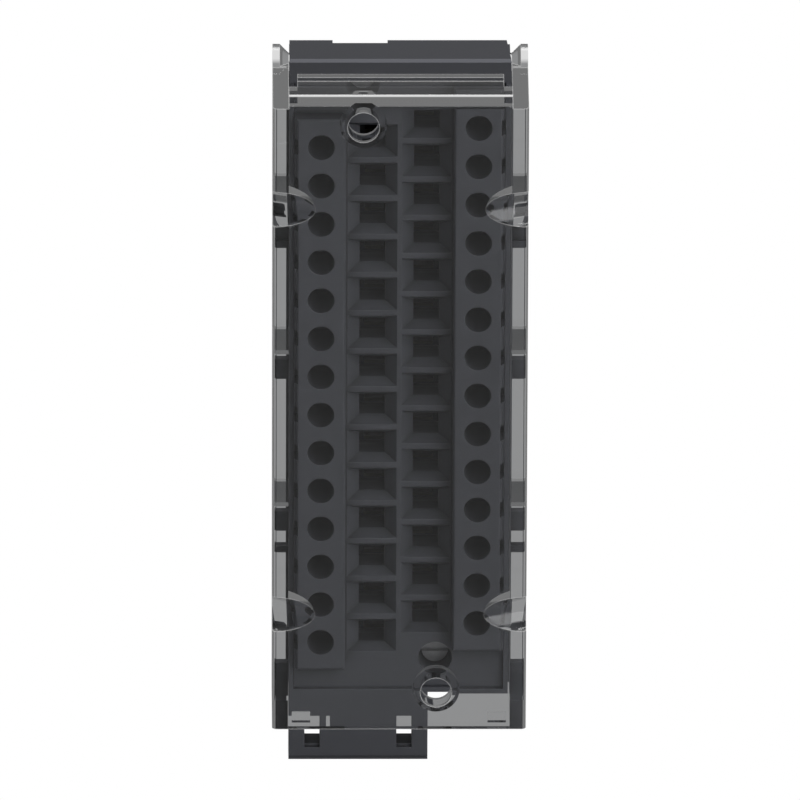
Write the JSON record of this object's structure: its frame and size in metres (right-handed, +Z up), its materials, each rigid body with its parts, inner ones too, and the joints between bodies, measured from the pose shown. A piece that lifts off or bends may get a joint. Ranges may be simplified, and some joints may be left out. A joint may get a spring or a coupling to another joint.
{
  "type": "screw terminal block",
  "caption": "Plug-in screw terminal block with two staggered columns of wire entries behind a hinged clear cover, held by two captive screws.",
  "frame": {"origin": "middle of the rear mounting face, halfway down between the two columns of terminals", "axes": "+Z up along the columns of terminals, +Y out of the rear face towards what it plugs onto, so the wires and the cover are on the -Y side, +X to the right seen from the front"},
  "size_m": [0.0316, 0.0258, 0.0953],
  "materials": {
    "housing": "dark grey moulded plastic with a fine satin grain",
    "terminal_carrier": "dark grey moulded plastic, satin",
    "contact_plate": "darker grey moulded plastic, matte",
    "clear_cover": "smoke-tinted clear plastic, polished",
    "contact_brass": "bare brass, dull",
    "clamp_steel": "zinc-plated steel sheet",
    "screw_steel": "zinc-plated steel, turned",
    "ring_plastic": "black moulded plastic"
  },
  "bodies": {
    "block": {"housing": "housing", "terminal_carrier": "terminal_carrier", "contact_plate": "contact_plate", "contact_bodies_left": "contact_brass", "contact_bodies_right": "contact_brass", "clamp_yokes_left": "clamp_steel", "clamp_yokes_right": "clamp_steel"},
    "cover": {"clear_cover": "clear_cover"},
    "upper_fixing_screw": {"fixing_screw_upper": "screw_steel", "retaining_ring_upper": "ring_plastic"},
    "lower_fixing_screw": {"fixing_screw_lower": "screw_steel", "retaining_ring_lower": "ring_plastic"},
    "clamp_screw_left_01": {"clamp_screw_left_01": "screw_steel"},
    "clamp_screw_left_02": {"clamp_screw_left_02": "screw_steel"},
    "clamp_screw_left_03": {"clamp_screw_left_03": "screw_steel"},
    "clamp_screw_left_04": {"clamp_screw_left_04": "screw_steel"},
    "clamp_screw_left_05": {"clamp_screw_left_05": "screw_steel"},
    "clamp_screw_left_06": {"clamp_screw_left_06": "screw_steel"},
    "clamp_screw_left_07": {"clamp_screw_left_07": "screw_steel"},
    "clamp_screw_left_08": {"clamp_screw_left_08": "screw_steel"},
    "clamp_screw_left_09": {"clamp_screw_left_09": "screw_steel"},
    "clamp_screw_left_10": {"clamp_screw_left_10": "screw_steel"},
    "clamp_screw_left_11": {"clamp_screw_left_11": "screw_steel"},
    "clamp_screw_left_12": {"clamp_screw_left_12": "screw_steel"},
    "clamp_screw_left_13": {"clamp_screw_left_13": "screw_steel"},
    "clamp_screw_left_14": {"clamp_screw_left_14": "screw_steel"},
    "clamp_screw_right_01": {"clamp_screw_right_01": "screw_steel"},
    "clamp_screw_right_02": {"clamp_screw_right_02": "screw_steel"},
    "clamp_screw_right_03": {"clamp_screw_right_03": "screw_steel"},
    "clamp_screw_right_04": {"clamp_screw_right_04": "screw_steel"},
    "clamp_screw_right_05": {"clamp_screw_right_05": "screw_steel"},
    "clamp_screw_right_06": {"clamp_screw_right_06": "screw_steel"},
    "clamp_screw_right_07": {"clamp_screw_right_07": "screw_steel"},
    "clamp_screw_right_08": {"clamp_screw_right_08": "screw_steel"},
    "clamp_screw_right_09": {"clamp_screw_right_09": "screw_steel"},
    "clamp_screw_right_10": {"clamp_screw_right_10": "screw_steel"},
    "clamp_screw_right_11": {"clamp_screw_right_11": "screw_steel"},
    "clamp_screw_right_12": {"clamp_screw_right_12": "screw_steel"},
    "clamp_screw_right_13": {"clamp_screw_right_13": "screw_steel"},
    "clamp_screw_right_14": {"clamp_screw_right_14": "screw_steel"}
  },
  "joints": [
    {"name": "cover_hinge", "type": "hinge", "parent": "block", "child": "cover", "pos_m": [0, -0.0125, 0.042], "axis": [-1, 0, 0], "range_deg": [0, 110]},
    {"name": "upper_fixing_screw_turn", "type": "hinge", "parent": "block", "child": "upper_fixing_screw", "pos_m": [-0.0046, -0.0078, 0.03789], "axis": [0, -1, 0], "continuous": true},
    {"name": "lower_fixing_screw_turn", "type": "hinge", "parent": "block", "child": "lower_fixing_screw", "pos_m": [0.0046, -0.0078, -0.03729], "axis": [0, -1, 0], "continuous": true},
    {"name": "clamp_screw_left_01_turn", "type": "hinge", "parent": "block", "child": "clamp_screw_left_01", "pos_m": [-0.00975, -0.006, 0.03175], "axis": [0, -1, 0], "range_deg": [0, 720]},
    {"name": "clamp_screw_left_02_turn", "type": "hinge", "parent": "block", "child": "clamp_screw_left_02", "pos_m": [-0.00975, -0.006, 0.02667], "axis": [0, -1, 0], "range_deg": [0, 720]},
    {"name": "clamp_screw_left_03_turn", "type": "hinge", "parent": "block", "child": "clamp_screw_left_03", "pos_m": [-0.00975, -0.006, 0.02159], "axis": [0, -1, 0], "range_deg": [0, 720]},
    {"name": "clamp_screw_left_04_turn", "type": "hinge", "parent": "block", "child": "clamp_screw_left_04", "pos_m": [-0.00975, -0.006, 0.01651], "axis": [0, -1, 0], "range_deg": [0, 720]},
    {"name": "clamp_screw_left_05_turn", "type": "hinge", "parent": "block", "child": "clamp_screw_left_05", "pos_m": [-0.00975, -0.006, 0.01143], "axis": [0, -1, 0], "range_deg": [0, 720]},
    {"name": "clamp_screw_left_06_turn", "type": "hinge", "parent": "block", "child": "clamp_screw_left_06", "pos_m": [-0.00975, -0.006, 0.00635], "axis": [0, -1, 0], "range_deg": [0, 720]},
    {"name": "clamp_screw_left_07_turn", "type": "hinge", "parent": "block", "child": "clamp_screw_left_07", "pos_m": [-0.00975, -0.006, 0.00127], "axis": [0, -1, 0], "range_deg": [0, 720]},
    {"name": "clamp_screw_left_08_turn", "type": "hinge", "parent": "block", "child": "clamp_screw_left_08", "pos_m": [-0.00975, -0.006, -0.00381], "axis": [0, -1, 0], "range_deg": [0, 720]},
    {"name": "clamp_screw_left_09_turn", "type": "hinge", "parent": "block", "child": "clamp_screw_left_09", "pos_m": [-0.00975, -0.006, -0.00889], "axis": [0, -1, 0], "range_deg": [0, 720]},
    {"name": "clamp_screw_left_10_turn", "type": "hinge", "parent": "block", "child": "clamp_screw_left_10", "pos_m": [-0.00975, -0.006, -0.01397], "axis": [0, -1, 0], "range_deg": [0, 720]},
    {"name": "clamp_screw_left_11_turn", "type": "hinge", "parent": "block", "child": "clamp_screw_left_11", "pos_m": [-0.00975, -0.006, -0.01905], "axis": [0, -1, 0], "range_deg": [0, 720]},
    {"name": "clamp_screw_left_12_turn", "type": "hinge", "parent": "block", "child": "clamp_screw_left_12", "pos_m": [-0.00975, -0.006, -0.02413], "axis": [0, -1, 0], "range_deg": [0, 720]},
    {"name": "clamp_screw_left_13_turn", "type": "hinge", "parent": "block", "child": "clamp_screw_left_13", "pos_m": [-0.00975, -0.006, -0.02921], "axis": [0, -1, 0], "range_deg": [0, 720]},
    {"name": "clamp_screw_left_14_turn", "type": "hinge", "parent": "block", "child": "clamp_screw_left_14", "pos_m": [-0.00975, -0.006, -0.03429], "axis": [0, -1, 0], "range_deg": [0, 720]},
    {"name": "clamp_screw_right_01_turn", "type": "hinge", "parent": "block", "child": "clamp_screw_right_01", "pos_m": [0.00975, -0.006, 0.03429], "axis": [0, -1, 0], "range_deg": [0, 720]},
    {"name": "clamp_screw_right_02_turn", "type": "hinge", "parent": "block", "child": "clamp_screw_right_02", "pos_m": [0.00975, -0.006, 0.02921], "axis": [0, -1, 0], "range_deg": [0, 720]},
    {"name": "clamp_screw_right_03_turn", "type": "hinge", "parent": "block", "child": "clamp_screw_right_03", "pos_m": [0.00975, -0.006, 0.02413], "axis": [0, -1, 0], "range_deg": [0, 720]},
    {"name": "clamp_screw_right_04_turn", "type": "hinge", "parent": "block", "child": "clamp_screw_right_04", "pos_m": [0.00975, -0.006, 0.01905], "axis": [0, -1, 0], "range_deg": [0, 720]},
    {"name": "clamp_screw_right_05_turn", "type": "hinge", "parent": "block", "child": "clamp_screw_right_05", "pos_m": [0.00975, -0.006, 0.01397], "axis": [0, -1, 0], "range_deg": [0, 720]},
    {"name": "clamp_screw_right_06_turn", "type": "hinge", "parent": "block", "child": "clamp_screw_right_06", "pos_m": [0.00975, -0.006, 0.00889], "axis": [0, -1, 0], "range_deg": [0, 720]},
    {"name": "clamp_screw_right_07_turn", "type": "hinge", "parent": "block", "child": "clamp_screw_right_07", "pos_m": [0.00975, -0.006, 0.00381], "axis": [0, -1, 0], "range_deg": [0, 720]},
    {"name": "clamp_screw_right_08_turn", "type": "hinge", "parent": "block", "child": "clamp_screw_right_08", "pos_m": [0.00975, -0.006, -0.00127], "axis": [0, -1, 0], "range_deg": [0, 720]},
    {"name": "clamp_screw_right_09_turn", "type": "hinge", "parent": "block", "child": "clamp_screw_right_09", "pos_m": [0.00975, -0.006, -0.00635], "axis": [0, -1, 0], "range_deg": [0, 720]},
    {"name": "clamp_screw_right_10_turn", "type": "hinge", "parent": "block", "child": "clamp_screw_right_10", "pos_m": [0.00975, -0.006, -0.01143], "axis": [0, -1, 0], "range_deg": [0, 720]},
    {"name": "clamp_screw_right_11_turn", "type": "hinge", "parent": "block", "child": "clamp_screw_right_11", "pos_m": [0.00975, -0.006, -0.01651], "axis": [0, -1, 0], "range_deg": [0, 720]},
    {"name": "clamp_screw_right_12_turn", "type": "hinge", "parent": "block", "child": "clamp_screw_right_12", "pos_m": [0.00975, -0.006, -0.02159], "axis": [0, -1, 0], "range_deg": [0, 720]},
    {"name": "clamp_screw_right_13_turn", "type": "hinge", "parent": "block", "child": "clamp_screw_right_13", "pos_m": [0.00975, -0.006, -0.02667], "axis": [0, -1, 0], "range_deg": [0, 720]},
    {"name": "clamp_screw_right_14_turn", "type": "hinge", "parent": "block", "child": "clamp_screw_right_14", "pos_m": [0.00975, -0.006, -0.03175], "axis": [0, -1, 0], "range_deg": [0, 720]}
  ]
}
